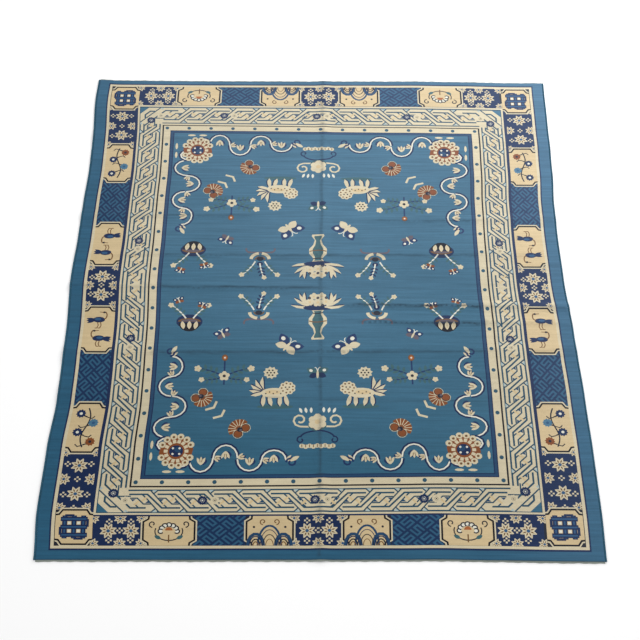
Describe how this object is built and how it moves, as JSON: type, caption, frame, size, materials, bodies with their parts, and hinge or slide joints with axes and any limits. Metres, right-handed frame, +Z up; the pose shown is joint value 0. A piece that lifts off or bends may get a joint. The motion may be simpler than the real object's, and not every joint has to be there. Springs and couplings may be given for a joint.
{
  "type": "chinese knotted wool rug",
  "caption": "Flat hand-knotted wool rug with a blue field, fret and panel borders, overcast side cords and narrow flat-woven end webs.",
  "frame": {"origin": "middle of the rug's bounding box, on the floor it lies on", "axes": "+X across the rug, +Y along its warps from the near end to the far end, +Z up out of the pile"},
  "size_m": [2.51, 2.9696, 0.0164],
  "materials": {
    "pile": "cut wool pile in eight dyed colours on a blue field, soft sheen, worn low along old folds",
    "ground": "back of the knots, ribbed and muted",
    "cord": "dark blue-green wool overcast in close turns",
    "web": "undyed cotton, flat woven, worn and slightly frayed at its edge"
  },
  "bodies": {
    "root": {"pile_sheet": "pile", "side_cord_left": "cord", "side_cord_right": "cord", "end_web_near": "web", "end_web_far": "web"}
  },
  "joints": []
}
